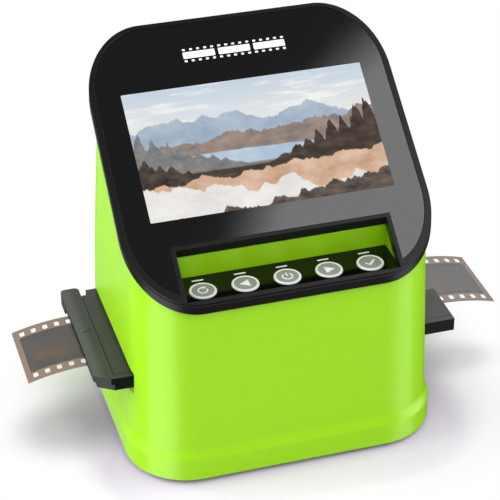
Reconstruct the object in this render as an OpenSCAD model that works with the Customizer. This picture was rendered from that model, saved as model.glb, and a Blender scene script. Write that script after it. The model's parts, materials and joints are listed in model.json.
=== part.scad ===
// Desktop film scanner: a tapered housing with a leaning display panel, a key
// well with five buttons, and a hinged holder that carries a strip of 35 mm film
// through slots in both side walls. Millimetres, +Z up, front towards -Y.
// The origin is on the table, under the middle of the footprint.

/* [Housing] */
// Width of the housing across the skirt
body_w = 124; // [121:0.5:129]
// Depth of the housing across the skirt
body_d = 104.5; // [102:0.5:108]
// Corner radius of the footprint
corner_r = 25; // [20:0.5:27]
// Draft of the walls, in degrees
draft = 2.2; // [1.4:0.1:2.4]
// Wall thickness of the housing
wall = 2.5; // [2:0.1:3]
// How far the skirt stands proud of the walls
skirt_out = 1.2; // [0.6:0.1:2]
// Height of the skirt above the table
skirt_top = 10.5; // [7:0.5:12]

/* [Base] */
// Height of the rubber feet under the base
foot_h = 1.2; // [0.8:0.1:2]
// Thickness of the base plate
base_t = 3; // [2.4:0.1:4]
// Part of the base plate that shows below the housing
base_show = 1.3; // [0.8:0.1:1.8]
// Diameter of a rubber foot
foot_dia = 12; // [8:0.5:16]
// Diameter of the base screws
screw_dia = 3; // [2.5:0.1:3.5]
// Outer diameter of the screw bosses
boss_dia = 8; // [7:0.5:9]

/* [Display panel] */
// Angle of the panel above the horizontal
panel_lean = 37; // [35:0.5:39]
// Width of the panel at the picture's middle
panel_w = 119.5; // [118:0.5:122]
// Length of the panel up its slope
panel_l = 115.5; // [114:0.5:117]
// Corner radius of the panel, seen from above
panel_r = 25; // [20:0.5:28]
// Draft of the panel's edge, in degrees
panel_draft = 1.2; // [0.5:0.1:2]
// Thickness of the panel frame
panel_t = 3; // [2.8:0.1:4]
// Width of the rim at the sides of the glass
rim_w = 2.6; // [2:0.1:4]
// Width of the rim above the glass, seen from above
rim_top = 1.6; // [1.2:0.1:3]
// Width of the step along the outside of the rim
rim_step = 0.35; // [0.2:0.05:0.6]
// Thickness of the front glass
glass_t = 1.4; // [1:0.1:1.6]
// Height of the picture's middle above the table
lcd_z = 117.4; // [115:0.2:120]
// Distance of the picture's middle behind the front of the footprint
lcd_y = 50.65; // [50:0.05:51.5]
// Width of the picture on the display
lcd_w = 95; // [90:0.5:97]
// Height of the picture
lcd_h = 52.6; // [48:0.2:54]
// How far the picture sits above the middle of the panel
lcd_up = 2.1; // [1.5:0.1:3]
// Metal border of the display module around the picture
lcd_border = 5; // [3:0.5:6]
// Thickness of the display module
lcd_t = 2.4; // [2:0.1:2.4]

/* [Key well] */
// Width of the opening in the panel over the keys
notch_w = 82; // [80:0.5:88]
// Distance from the picture's middle down to the opening
notch_top = 38.4; // [37.6:0.2:39.6]
// Width of the dark lip round the opening
lip_w = 1.5; // [1:0.1:2]
// Width of the lip in front of the keys
lip_front_w = 2; // [1.6:0.1:2.6]
// Depth of the lip's flange below the panel face, behind the keys
flange_depth = 7.5; // [6.5:0.1:8]
// Depth of the flange beside the keys
flange_side = 4; // [3.5:0.1:6]
// Height of the key plate above the table
key_z = 79.2; // [78.4:0.1:79.4]
// Thickness of the key plate
key_plate_t = 2; // [1.5:0.1:2.5]
// Depth of the well, front to back
well_d = 19.2; // [18.4:0.1:19.4]
// Diameter of a button
button_dia = 10.4; // [8:0.1:11]
// Distance from the back of the well to the buttons' centres
button_back = 10.7; // [9:0.1:12]
// Distance between buttons
button_pitch = 16.3; // [14:0.1:16.6]
// Height of a button above the plate
button_up = 0.5; // [0.3:0.1:1.2]
// Travel of a button
button_travel = 0.5; // [0.3:0.1:0.6]
// Width of the ring on a button
ring_w = 0.9; // [0.6:0.1:1.4]

/* [Film holder] */
// Length of the holder
holder_l = 145; // [141:0.5:149]
// Width of the holder's lid
lid_w = 60; // [56:0.5:62]
// Thickness of the closed holder
holder_t = 5.4; // [5:0.1:6]
// Height of the film above the table
film_z = 38.6; // [36:0.2:42]
// Distance of the film's centre line behind the footprint's middle
film_y = 1.5; // [0:0.5:2.5]
// Width of the holder's front rail
rail_w = 2.7; // [2:0.1:4]
// Width of the strip at the holder's left end
end_strip_w = 7.5; // [6.5:0.1:9]
// How far the thumb tab stands behind the lid
tab_out = 2.6; // [1.5:0.1:3.5]
// Width of the finger cut-out at the right end
finger_w = 20.6; // [16:0.2:24]
// Depth of the finger cut-out
finger_d = 14; // [10:0.5:18]
// Diameter of the lid's hinge pins
pin_dia = 1.5; // [1.2:0.1:1.8]
// Width of the slot's bevel in the side walls
slot_bevel = 2; // [1:0.1:2.2]

/* [Film] */
// Width of the film
film_w = 35; // [34.8:0.1:35]
// Thickness of the film
film_t = 0.15; // [0.12:0.01:0.2]
// Length of film that sticks out at each end
film_out = 24.5; // [19:0.5:30]
// Radius of the curl of the free ends
film_curl_r = 84; // [70:1:140]
// Pitch of the perforations
perf_pitch = 4.75; // [4.7:0.01:4.8]
// Length of a frame
frame_l = 36; // [34:0.5:36]
// Width of a frame
frame_w = 24; // [22:0.5:24]

/* [Optics] */
// Width of the light box
light_w = 54; // [48:1:60]
// Depth of the light box
light_d = 40; // [36:1:44]
// Diameter of the lens barrel
lens_dia = 14; // [12:0.5:18]
// Length of the lens barrel
lens_l = 12; // [10:0.5:14]

/* [Hidden] */
$fn = 96;

// Shared clearances and small sizes
eps = 0.01;
far = 300;
seam = 0.2;
seat = 0.3;
run_gap = 0.08;
board_t = 1.6;

// Housing
half_w = body_w / 2;
half_d = body_d / 2;
shell_z = foot_h + base_show;
wall_w = body_w - 2 * skirt_out;
skirt_blend = 6;
taper = tan(draft);
function drop_in(z) = (z - shell_z) * taper;
function side_x(z) = wall_w / 2 - drop_in(z);
function back_y(z) = half_d - skirt_out - drop_in(z);

// Skirt section: offset from the skirt's size, height
skirt_round = 0.4;
roof_z = lcd_z + panel_l;
function arc_in(r, z0, n = 4) =
    [for (i = [0 : n]) [-r + r * sin(90 * i / n), z0 + r - r * cos(90 * i / n)]];
function blend_out(from, to, z0, z1, n = 6) =
    [for (i = [1 : n]) let (s = (1 - cos(180 * i / n)) / 2)
        [from + (to - from) * s, z0 + (z1 - z0) * i / n]];
blend_top = skirt_top + skirt_blend;
outer_section = concat(
    arc_in(skirt_round, shell_z),
    blend_out(0, -skirt_out - drop_in(blend_top), skirt_top, blend_top),
    [[-skirt_out - drop_in(roof_z), roof_z]]
);
inner_section = [
    [-skirt_out - wall, shell_z - 1],
    [-skirt_out - wall, shell_z],
    [-skirt_out - wall - drop_in(roof_z), roof_z]
];

// Panel: x across, y up the slope, z out of the glass, zero at the picture's middle.
// Its edge is a rounded block that stands upright and is cut along the slope.
lcd_front = half_d - lcd_y;
deck_n = -panel_t;
sin_lean = sin(panel_lean);
cos_lean = cos(panel_lean);
function deck_z(y, n) = lcd_z + (n + (y + lcd_front) * sin_lean) / cos_lean;
panel_mid_y = -lcd_front - lcd_up * cos_lean;
panel_d = panel_l * cos_lean;
panel_low = panel_l / 2 + lcd_up;
panel_taper = tan(panel_draft);
rim_step_t = 0.6;
glass_sink = 0.25;
glass_gap = 0.05;
pocket_d = glass_t + glass_sink;
lip_bottom = panel_low * (1 + panel_taper * sin_lean / cos_lean) - lip_front_w;
shell_back_z = deck_z(panel_mid_y + panel_d / 2, deck_n);
window_edge = 1;
lcd_room = 0.6;
lcd_out_w = lcd_w + 2 * lcd_border;
lcd_out_h = lcd_h + 2 * lcd_border;
bracket_t = 1;
bracket_n = deck_n - wall - 0.05 - bracket_t;
bracket_tab_w = 8;
bracket_tab_d = 5.4;
bracket_edge = 1.1;
bracket_dx = lcd_out_w / 2 - bracket_tab_w;
bracket_dy = lcd_out_h / 2 + 1.7;

// Key well
well_w = notch_w + 2 * lip_w + 2 * seam;
flange_room = notch_w + 2 * lip_w + seam;
well_back = -lcd_front - notch_top * cos_lean + flange_depth * sin_lean - seam;
well_wall = 1.8;
ledge_w = 2.5;
ledge_end = 3.5;
ledge_t = 1.5;
ledge_play = 0.1;
plate_under = key_z - key_plate_t;
button_y = well_back - button_back;
button_r = button_dia / 2;
button_top = key_z + button_up;
flange_out = 0.7;
button_flange_t = 1.4;
flange_top = plate_under - ledge_play;
flange_bottom = flange_top - button_flange_t;
switch_w = 6;
switch_h = 3.5;
switch_gap = 0.2;
plunger_r = 1.75;
plunger_in = 1.2;
key_edge = 0.35;
key_cup = 0.25;
switch_top = flange_bottom - button_travel - switch_gap;
key_board_top = switch_top - switch_h;
key_post_r = 2.1;
key_post_end = well_w / 2 - 1;
key_post_back = well_back - 0.6;
key_posts_at = [
    [-key_post_end, button_y], [key_post_end, button_y],
    [-1.5 * button_pitch, key_post_back], [1.5 * button_pitch, key_post_back]
];
key_board_w = 2 * (key_post_end + key_post_r);
key_board_front = button_y - 5.3;
key_board_back = well_back + 1.5;
small_screw_r = 0.9;
small_head_r = 1.7;
small_head_h = 1;
key_screw_l = 4;
bracket_screw_l = 2.8;
board_screw_l = 5;

// Holder
tray_bottom = film_z - holder_t / 2;
holder_top = film_z + holder_t / 2;
parting_z = film_z + 0.1;
lid_z = parting_z + 0.05;
lid_front = film_y - lid_w / 2;
lid_back = film_y + lid_w / 2;
holder_front = lid_front - rail_w;
holder_left = -(holder_l + 1) / 2;
holder_right = holder_left + holder_l;
strip_x = holder_left + end_strip_w;
tray_play = 0.3;
slot_play = 0.5;
channel_w = film_w + 0.6;
channel_d = 0.3;
relief_w = frame_w + 0.6;
relief_d = 0.5;
gate_l = frame_l + 1;
gate_w = frame_w + 1;
corner_x = 6;
corner_y = 4;
undercut = 1.3;
undercut_back = lid_back - 6.5;
tab_r = 2;
index_w = 2.6;
index_d = 3.6;
knuckle_x = 44;
knuckle_l = 4;
knuckle_gap = 0.3;
knuckle_r = 2.2;
pin_r = pin_dia / 2;
hinge_y = lid_back - knuckle_r - 0.3;
hinge_z = film_z;
hinge_bay_l = 3 * knuckle_l + 4 * knuckle_gap;

// Guide, light box and camera
guide_l = 2 * (side_x(film_z) - wall - 3);
guide_floor = tray_bottom - tray_play;
guide_floor_t = 3;
guide_under = guide_floor - guide_floor_t;
guide_roof = holder_top + tray_play;
guide_roof_t = 2;
guide_top = guide_roof + guide_roof_t;
guide_wall = 3;
detent_x = 0;
detent_r = 2.4;
detent_l = 22;
detent_t = 0.3;
detent_h = 3;
bump_r = 1.8;
bump_in = 0.9;
film_relief = 1;
perf_l = 1.98;
perf_w = 2.8;
aperture_l = 40;
aperture_w = 29;
leg_x = 40;
leg_y = 27;
plate_bottom = foot_h;
base_inset = 1.7;
seat_h = 1.8;
plate_screw_l = 11;
plate_head_h = 1.4;
thread_play = 0.3;
leg_bore = 15;
base_gap = 0.1;
plate_top = foot_h + base_t;
pad_h = 1;
light_board_z = plate_top + pad_h;
light_box_z = light_board_z + board_t;
diffuser_t = 2;
diffuser_z = guide_under - diffuser_t;
tower_wall = 2;
tower_w = 46;
tower_d = 36;
tower_step = 18;
neck_w = lens_dia + 10;
neck_top = guide_top + tower_step + lens_l + 8;
lens_z = neck_top - lens_l - 3;
sensor_z = neck_top;

// Main board and sockets on the back wall
socket_z = 58;
board_gap = 10.3;
board_y = back_y(socket_z) - board_gap;
board_w = 92;
board_z0 = 50;
board_h = 56;
board_hole_dx = 41;
board_hole_dz = 24;
board_mid_z = board_z0 + board_h / 2;
usb_x = -30;
usb_size = [9, 3.6];
usb_mouth = [8.2, 2.8];
usb_tongue = [6.4, 0.7];
card_x = 0;
card_size = [26, 3.6];
card_mouth = [24.4, 2.4];
card_tongue = [20, 0.4];
video_x = 30;
video_size = [11.4, 3.8];
video_mouth = [10.6, 2.8];
video_tongue = [8, 0.8];
socket_room = 1;
foot_x = half_w - 23;
foot_y = half_d - 12;
boss_x = half_w - 13.5;
boss_y = half_d - 18;
boss_h = 18;
boss_rib_t = 2;
foot_edge = 0.5;
foot_sunk = 0.8;
thread_bite = 0.25;

// ---------- shared shapes ----------

module rounded_rect(w, h, r) {
    square([w - 2 * r, h], center = true);
    square([w, h - 2 * r], center = true);
    for (x = [-1, 1], y = [-1, 1])
        translate([x * (w / 2 - r), y * (h / 2 - r)])
            circle(r);
}

module plate(w, h, t, r = 1) {
    linear_extrude(t)
        rounded_rect(w, h, r);
}

module block(w, d, h) {
    translate([-w / 2, -d / 2, 0])
        cube([w, d, h]);
}

// Rounded block whose wall follows a section of [offset, height] points
module section_block(w, d, r, pts) {
    function both(s) = concat(
        [for (p = pts) [s / 2 + p[0], p[1]]],
        [for (i = [len(pts) - 1 : -1 : 0]) [-s / 2 - pts[i][0], pts[i][1]]]
    );
    rotate([90, 0, 0])
        linear_extrude(d - 2 * r, center = true)
            polygon(both(w));
    rotate([90, 0, 90])
        linear_extrude(w - 2 * r, center = true)
            polygon(both(d));
    for (i = [0 : 3])
        rotate(90 * i)
            translate([(i % 2 == 0 ? w : d) / 2 - r, (i % 2 == 0 ? d : w) / 2 - r, 0])
                rotate_extrude(angle = 90)
                    polygon(concat(
                        [[0, pts[0][1]]],
                        [for (p = pts) [r + p[0], p[1]]],
                        [[0, pts[len(pts) - 1][1]]]
                    ));
}

// Places its children on the panel, at the picture's middle
module on_panel(n = 0) {
    translate([0, -lcd_front, lcd_z])
        rotate([panel_lean, 0, 0])
            translate([0, 0, n])
                children();
}

// Everything on the glass side of a plane parallel to the panel
module above_panel(n) {
    on_panel(n)
        translate([-far / 2, -far / 2, 0])
            cube(far);
}

module screw(r, l, head_r, head_h) {
    cylinder(r = r, h = l);
    translate([0, 0, -head_h])
        cylinder(r = head_r, h = head_h);
}

module at_corners(x, y) {
    for (sx = [-1, 1], sy = [-1, 1])
        translate([sx * x, sy * y, 0])
            children();
}

// ---------- housing ----------

// Bevelled slot for the holder through one side wall; side is -1 or 1
module holder_slot(side) {
    x_in = side * (side_x(film_z) - wall - 2);
    x_mid = side * (side_x(film_z) - slot_bevel);
    x_out = side * (side_x(film_z) + slot_bevel);
    grow = 2 * slot_bevel;
    function funnel(low, high) = [
        [x_in, low], [x_mid, low], [x_out, low - grow],
        [x_out, high + grow], [x_mid, high], [x_in, high]
    ];
    intersection() {
        rotate([90, 0, 0])
            linear_extrude(far, center = true)
                polygon(funnel(tray_bottom - slot_play, holder_top + slot_play));
        linear_extrude(far)
            polygon(funnel(holder_front - slot_play, lid_back + slot_play));
    }
}

module socket_holes() {
    translate([usb_x, 0, socket_z])
        wall_hole(usb_size);
    translate([card_x, 0, socket_z])
        wall_hole(card_size);
    translate([video_x, 0, socket_z])
        wall_hole(video_size);
}

module wall_hole(size) {
    w = size[0] + socket_room;
    h = size[1] + socket_room;
    translate([-w / 2, board_y, -h / 2])
        cube([w, half_d, h]);
}

module well_block() {
    w = well_w + 2 * well_wall;
    translate([-w / 2, -half_d, plate_under - ledge_t])
        cube([w, half_d + well_back + well_wall, far]);
}

module well_void() {
    translate([-well_w / 2, well_back - well_d, plate_under])
        cube([well_w, well_d, far]);
    translate([-well_w / 2 + ledge_end, well_back - well_d + ledge_w, key_board_top])
        cube([well_w - 2 * ledge_end, well_d - 2 * ledge_w, far]);
    on_panel(-flange_depth - seam)
        translate([-flange_room / 2, -notch_top - flange_depth, 0])
            cube([flange_room, flange_depth + lip_w + seam, far]);
}

module at_key_posts() {
    for (p = key_posts_at)
        translate([p[0], p[1], 0])
            children();
}

module key_post_columns(r, z0, z1) {
    at_key_posts()
        translate([0, 0, z0])
            cylinder(r = r, h = z1 - z0);
}

module base_bosses() {
    at_corners(boss_x, boss_y)
        translate([0, 0, plate_top])
            cylinder(d = boss_dia, h = boss_h);
    for (y = [-1, 1])
        translate([0, y * boss_y, plate_top + 1])
            difference() {
                block(body_w, boss_rib_t, boss_h - 1);
                translate([0, 0, -1])
                    block(2 * boss_x, boss_rib_t + 1, boss_h + 1);
            }
}

module board_posts() {
    for (x = [-1, 1], z = [-1, 1])
        translate([x * board_hole_dx, board_y + board_t, board_mid_z + z * board_hole_dz])
            rotate([-90, 0, 0])
                cylinder(r = 3, h = half_d - board_y);
}

module board_bores(r, y0, y1) {
    for (x = [-1, 1], z = [-1, 1])
        translate([x * board_hole_dx, y0, board_mid_z + z * board_hole_dz])
            rotate([-90, 0, 0])
                cylinder(r = r, h = y1 - y0);
}

module body_shell() {
    color("#9ddc21")
        difference() {
            shell_form();
            well_void();
            on_panel(deck_n - wall - 1)
                block(lcd_out_w + lcd_room, lcd_out_h + lcd_room, wall + 2);
            holder_slot(-1);
            holder_slot(1);
            socket_holes();
            key_post_columns(small_screw_r, key_board_top - 1, plate_under - ledge_t);
            at_corners(boss_x, boss_y)
                translate([0, 0, plate_top - 1])
                    cylinder(r = screw_dia / 2 - thread_bite, h = boss_h - 2);
            board_bores(small_screw_r, board_y, board_y + 8);
            bracket_holes(small_screw_r, deck_n - wall - 1, deck_n - 0.6);
        }
}

// Walls, deck, bosses and the well's block, before the openings are cut
module shell_form() {
    difference() {
        section_block(body_w, body_d, corner_r, outer_section);
        difference() {
            section_block(body_w, body_d, corner_r, inner_section);
            above_panel(deck_n - wall);
        }
        above_panel(deck_n);
        translate([0, 0, shell_back_z])
            block(far, far, far);
    }
    intersection() {
        section_block(body_w, body_d, corner_r, outer_section);
        union() {
            difference() {
                well_block();
                above_panel(deck_n - wall / 2);
            }
            key_post_columns(key_post_r, key_board_top, plate_under - ledge_t + eps);
            base_bosses();
            board_posts();
        }
    }
}

module base_plate() {
    lip_d = 2 * (wall + skirt_out + seam);
    color("#22252a")
        difference() {
            union() {
                translate([0, 0, plate_bottom])
                    plate(body_w - 2 * base_inset, body_d - 2 * base_inset,
                        base_show - base_gap, corner_r - base_inset);
                translate([0, 0, plate_bottom])
                    plate(body_w - lip_d, body_d - lip_d, base_t, corner_r - lip_d / 2);
                at_corners(light_w / 2 - 3, light_d / 2 - 3)
                    translate([0, 0, plate_top - eps])
                        cylinder(d = 5, h = pad_h + eps);
            }
            at_corners(foot_x, foot_y)
                translate([0, 0, plate_bottom - 1])
                    cylinder(d = foot_dia + 2 * seam, h = 1 + foot_sunk);
            at_corners(boss_x, boss_y)
                screw_seat();
            at_corners(leg_x, leg_y)
                screw_seat();
        }
}

module screw_seat() {
    translate([0, 0, plate_bottom - 1])
        cylinder(d = screw_dia + 0.4, h = base_t + 2);
    translate([0, 0, plate_bottom - 1])
        cylinder(d = 2 * screw_dia + 0.6, h = 1 + seat_h);
}

module rubber_feet() {
    color("#15171a")
        at_corners(foot_x, foot_y)
            rotate_extrude()
                polygon([
                    [0, 0], [foot_dia / 2 - foot_edge, 0], [foot_dia / 2, foot_edge],
                    [foot_dia / 2, foot_h + foot_sunk], [0, foot_h + foot_sunk]
                ]);
}

module plate_screw() {
    translate([0, 0, plate_bottom + seat_h])
        screw(screw_dia / 2 - thread_play, plate_screw_l, screw_dia, plate_head_h);
}

module base_screws() {
    color("#8d9096")
        at_corners(boss_x, boss_y)
            plate_screw();
}

// ---------- display panel ----------

// Slice of the upright block behind the panel's edge, between two depths;
// inset is how far it lies inside the edge, back_inset the same at the top
module panel_slice(inset, back_inset, n0, n1) {
    slice_d = panel_d - inset - back_inset;
    intersection() {
        translate([0, panel_mid_y + (inset - back_inset) / 2, lcd_z])
            section_block(panel_w - 2 * inset, slice_d, panel_r - inset, [
                [panel_l * panel_taper, -panel_l], [-panel_l * panel_taper, panel_l]
            ]);
        on_panel(n0)
            block(far, far, n1 - n0);
    }
}

module notch_outline(grow) {
    w = notch_w + 2 * grow;
    translate([-w / 2, -lip_bottom])
        square([w, lip_bottom - notch_top + grow]);
}

module panel_frame() {
    color("#3b3c3e")
        difference() {
            union() {
                difference() {
                    union() {
                        panel_slice(0, 0, -panel_t, -rim_step_t);
                        panel_slice(rim_step, rim_step, -rim_step_t - eps, 0);
                    }
                    glass_pocket();
                }
                key_flange();
            }
            on_panel(-flange_depth - 1)
                linear_extrude(far)
                    notch_outline(0);
            on_panel(-panel_t - 1)
                block(lcd_w + 2 * window_edge, lcd_h + 2 * window_edge, panel_t);
        }
}

// Recess for the glass; the lip round the key opening is left standing
module glass_pocket() {
    difference() {
        panel_slice(rim_w, rim_top, -pocket_d, 1);
        on_panel(-panel_t)
            linear_extrude(panel_t + 2)
                notch_frame();
    }
}

// Flange of the key opening, down to just above the key plate
module key_flange() {
    difference() {
        union() {
            on_panel(-flange_side)
                linear_extrude(flange_side - 1)
                    notch_outline(lip_w);
            on_panel(-flange_depth)
                linear_extrude(flange_depth - 1)
                    flange_back();
        }
        translate([0, well_back, key_z + seam - far])
            block(far, far, far);
    }
}

// Strip of the flange behind the keys
module flange_back() {
    w = notch_w + 2 * lip_w;
    translate([-w / 2, -notch_top])
        square([w, lip_w]);
}

// The lip round the key opening, out to where the glass ends
module notch_frame() {
    w = notch_w + 2 * lip_w;
    translate([-w / 2, -far])
        square([w, far - notch_top + lip_w]);
}

module front_glass() {
    color("#141517")
        difference() {
            panel_slice(rim_w + seam / 2, rim_top + seam / 2,
                glass_gap - pocket_d, glass_gap - glass_sink);
            on_panel(-pocket_d - 1)
                linear_extrude(pocket_d + 1)
                    offset_notch(seam / 2);
        }
}

module offset_notch(gap) {
    w = notch_w + 2 * lip_w + 2 * gap;
    translate([-w / 2, -far])
        square([w, far - notch_top + lip_w + gap]);
}

module lcd_module() {
    color("#5b6672")
        on_panel(-panel_t - lcd_t - 0.05)
            difference() {
                block(lcd_out_w, lcd_out_h, lcd_t);
                translate([0, 0, lcd_t - 0.4])
                    block(lcd_w + 1, lcd_h + 1, 1);
            }
}

module bracket_holes(r, n0, n1) {
    for (x = [-1, 1], y = [-1, 1])
        on_panel(n0)
            translate([x * bracket_dx, y * bracket_dy, 0])
                cylinder(r = r, h = n1 - n0);
}

module lcd_bracket() {
    color("#9aa0a6")
        difference() {
            union() {
                on_panel(bracket_n)
                    plate(lcd_out_w, lcd_out_h, bracket_t, 2);
                for (x = [-1, 1], y = [-1, 1])
                    on_panel(bracket_n)
                        translate([x * bracket_dx, y * (bracket_dy - bracket_edge), 0])
                            plate(bracket_tab_w, bracket_tab_d, bracket_t, 2);
            }
            bracket_holes(small_screw_r + 0.2, bracket_n - 1, bracket_n + bracket_t + 1);
            on_panel(bracket_n - 1)
                block(lcd_w * 0.6, lcd_h * 0.5, bracket_t + 2);
        }
}

module bracket_screws() {
    color("#8d9096")
        for (x = [-1, 1], y = [-1, 1])
            on_panel(bracket_n)
                translate([x * bracket_dx, y * bracket_dy, 0])
                    screw(small_screw_r - 0.1, bracket_screw_l, small_head_r, small_head_h);
}

// ---------- keys ----------

module at_buttons() {
    for (i = [-2 : 2])
        translate([i * button_pitch, button_y, 0])
            children();
}

module key_plate() {
    color("#1c2a12")
        difference() {
            translate([0, well_back - well_d / 2, plate_under])
                block(well_w - 2 * seam, well_d - 2 * seam, key_plate_t);
            at_buttons()
                translate([0, 0, plate_under - 1])
                    cylinder(r = button_r + run_gap, h = key_plate_t + 2);
            on_panel(deck_n - eps)
                translate([-far / 2, -far - lip_bottom + eps, 0])
                    cube(far);
        }
}

module button(i) {
    color("#e4e8e4")
        translate([i * button_pitch, button_y, 0])
            rotate_extrude()
                polygon([
                    [0, flange_bottom], [button_r + flange_out, flange_bottom],
                    [button_r + flange_out, flange_top], [button_r, flange_top],
                    [button_r, button_top - key_edge], [button_r - key_edge, button_top],
                    [button_r - ring_w, button_top],
                    [button_r - ring_w - key_cup, button_top - key_cup],
                    [0, button_top - key_cup]
                ]);
}

module plunger(i) {
    color("#3a3a3a")
        translate([i * button_pitch, button_y, switch_top - plunger_in])
            cylinder(r = plunger_r, h = flange_bottom - switch_top + plunger_in);
}

module tact_switches() {
    color("#c9ccd0")
        at_buttons()
            translate([0, 0, key_board_top])
                difference() {
                    block(switch_w, switch_w, switch_h);
                    translate([0, 0, switch_h - 2])
                        cylinder(r = plunger_r + run_gap, h = 3);
                }
}

module key_board() {
    color("#1f6b3a")
        difference() {
            translate([-key_board_w / 2, key_board_front, key_board_top - board_t])
                cube([key_board_w, key_board_back - key_board_front, board_t]);
            key_post_columns(small_screw_r + 0.3, key_board_top - board_t - 1, key_board_top + 1);
        }
}

module key_screws() {
    color("#8d9096")
        at_key_posts()
            translate([0, 0, key_board_top - board_t])
                screw(small_screw_r - 0.1, key_screw_l, small_head_r, small_head_h);
}

// ---------- film holder ----------

// Outline of the closed holder, seen from above
module holder_outline() {
    difference() {
        union() {
            polygon([
                [holder_left + corner_x, holder_front], [holder_right, holder_front],
                [holder_right, lid_back], [holder_left, lid_back],
                [holder_left, holder_front + corner_y]
            ]);
            translate([(holder_left + strip_x) / 2, lid_back])
                rounded_rect(end_strip_w, 2 * tab_out, tab_r);
        }
        finger_cut();
        translate([strip_x - eps, lid_back - index_d])
            square([index_w, far]);
    }
}

module finger_cut() {
    translate([holder_right - finger_d, film_y - finger_w / 2])
        square([far, finger_w]);
}

module gate_cut(z0, z1) {
    translate([-gate_l / 2, film_y - gate_w / 2, z0])
        cube([gate_l, gate_w, z1 - z0]);
}

module hinge_bays(length, y_pad) {
    for (x = [-1, 1])
        translate([x * knuckle_x - length / 2, hinge_y - knuckle_r - y_pad, tray_bottom - 1])
            cube([length, far, holder_t + 2]);
}

module knuckle(x, l) {
    translate([x - l / 2, hinge_y, hinge_z])
        rotate([0, 90, 0])
            cylinder(r = knuckle_r, h = l);
}

module pin_bores(r) {
    for (x = [-1, 1])
        translate([x * knuckle_x - hinge_bay_l / 2 - 1, hinge_y, hinge_z])
            rotate([0, 90, 0])
                cylinder(r = r, h = hinge_bay_l + 2);
}

module holder_tray() {
    outer_x = knuckle_l + knuckle_gap;
    color("#46484a")
        difference() {
            union() {
                difference() {
                    translate([0, 0, tray_bottom])
                        linear_extrude(holder_t)
                            holder_outline();
                    translate([strip_x, lid_front - seam / 2, parting_z])
                        cube([far, far, far]);
                    hinge_bays(hinge_bay_l, knuckle_gap);
                }
                for (x = [-1, 1], s = [-1, 1]) {
                    knuckle(x * knuckle_x + s * outer_x, knuckle_l);
                    translate([x * knuckle_x + s * outer_x - knuckle_l / 2,
                               hinge_y - knuckle_r - 1, tray_bottom])
                        cube([knuckle_l, knuckle_r + 1, hinge_z - tray_bottom]);
                }
            }
            film_channel();
            gate_cut(tray_bottom - 1, holder_top + 1);
            pin_bores(pin_r + run_gap);
            detent_notch();
            tick_mark();
            end_undercut();
        }
}

// The tray's left end is set back below the film, up to the thumb tab
module end_undercut() {
    translate([holder_left - 1, undercut_back - far, tray_bottom - 1])
        cube([1 + undercut, far, film_z - tray_bottom + 1]);
    translate([0, 0, tray_bottom - 1])
        linear_extrude(film_z - tray_bottom + 1)
            polygon([
                [holder_left, holder_front - eps],
                [holder_left + corner_x + undercut, holder_front - eps],
                [holder_left + undercut, holder_front + corner_y]
            ]);
}

module detent_notch() {
    translate([detent_x, lid_back, tray_bottom - 1])
        cylinder(r = detent_r, h = holder_t + 2);
}

// Channel for the film in the tray, with a deeper relief under the picture
module film_channel() {
    translate([holder_left - 1, film_y - channel_w / 2, parting_z - channel_d])
        cube([holder_l + 2, channel_w, channel_d + 0.15]);
    translate([holder_left - 1, film_y - relief_w / 2, parting_z - channel_d - relief_d])
        cube([holder_l + 2, relief_w, channel_d + 2 * relief_d + 0.15]);
}

module tick_mark() {
    translate([holder_left + 2.6, film_y + 0.4, holder_top - 0.3])
        rotate([0, 0, 25])
            cube([4.2, 0.3, 1]);
}

module holder_lid() {
    lid_x = strip_x + seam;
    color("#4b4d4f")
        difference() {
            union() {
                difference() {
                    translate([0, 0, lid_z])
                        linear_extrude(holder_top - lid_z)
                            intersection() {
                                holder_outline();
                                translate([lid_x, lid_front + seam / 2])
                                    square([far, lid_w - seam / 2]);
                            }
                    hinge_bays(hinge_bay_l, knuckle_gap);
                }
                for (x = [-1, 1]) {
                    knuckle(x * knuckle_x, knuckle_l);
                    translate([x * knuckle_x - knuckle_l / 2, hinge_y - knuckle_r - 1, lid_z])
                        cube([knuckle_l, knuckle_r + 1, holder_top - lid_z]);
                }
            }
            translate([holder_left - 1, film_y - relief_w / 2, parting_z - 1])
                cube([holder_l + 2, relief_w, 1 + relief_d]);
            gate_cut(tray_bottom - 1, holder_top + 1);
            pin_bores(pin_r + run_gap);
            detent_notch();
        }
}

module lid_pins() {
    color("#b9bcc0")
        for (x = [-1, 1])
            translate([x * knuckle_x - hinge_bay_l / 2 + 0.4, hinge_y, hinge_z])
                rotate([0, 90, 0])
                    cylinder(r = pin_r, h = hinge_bay_l - 0.8);
}

// Section of the film along its length: flat in the holder, curled at both ends
module film_section() {
    flat_x = holder_right - 0.5;
    square([2 * flat_x, film_t], center = true);
    for (s = [-1, 1])
        intersection() {
            translate([s * flat_x, -film_curl_r])
                difference() {
                    circle(film_curl_r + film_t / 2, $fn = 180);
                    circle(film_curl_r - film_t / 2, $fn = 180);
                }
            translate([s > 0 ? flat_x : -flat_x - film_out, -film_out])
                square([film_out, 2 * film_out]);
        }
}

module perforations() {
    perf_row = film_w / 2 - 3.4;
    span = holder_right + film_out - 4;
    for (x = [-span : perf_pitch : span], s = [-1, 1])
        translate([x - perf_l / 2, film_y + s * perf_row - perf_w / 2, film_z - film_out])
            cube([perf_l, perf_w, 2 * film_out]);
}

module film_strip() {
    color("#5d4a40")
        difference() {
            translate([0, film_y + film_w / 2, film_z])
                rotate([90, 0, 0])
                    linear_extrude(film_w)
                        film_section();
            perforations();
        }
}

// ---------- guide, light and camera ----------

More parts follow.
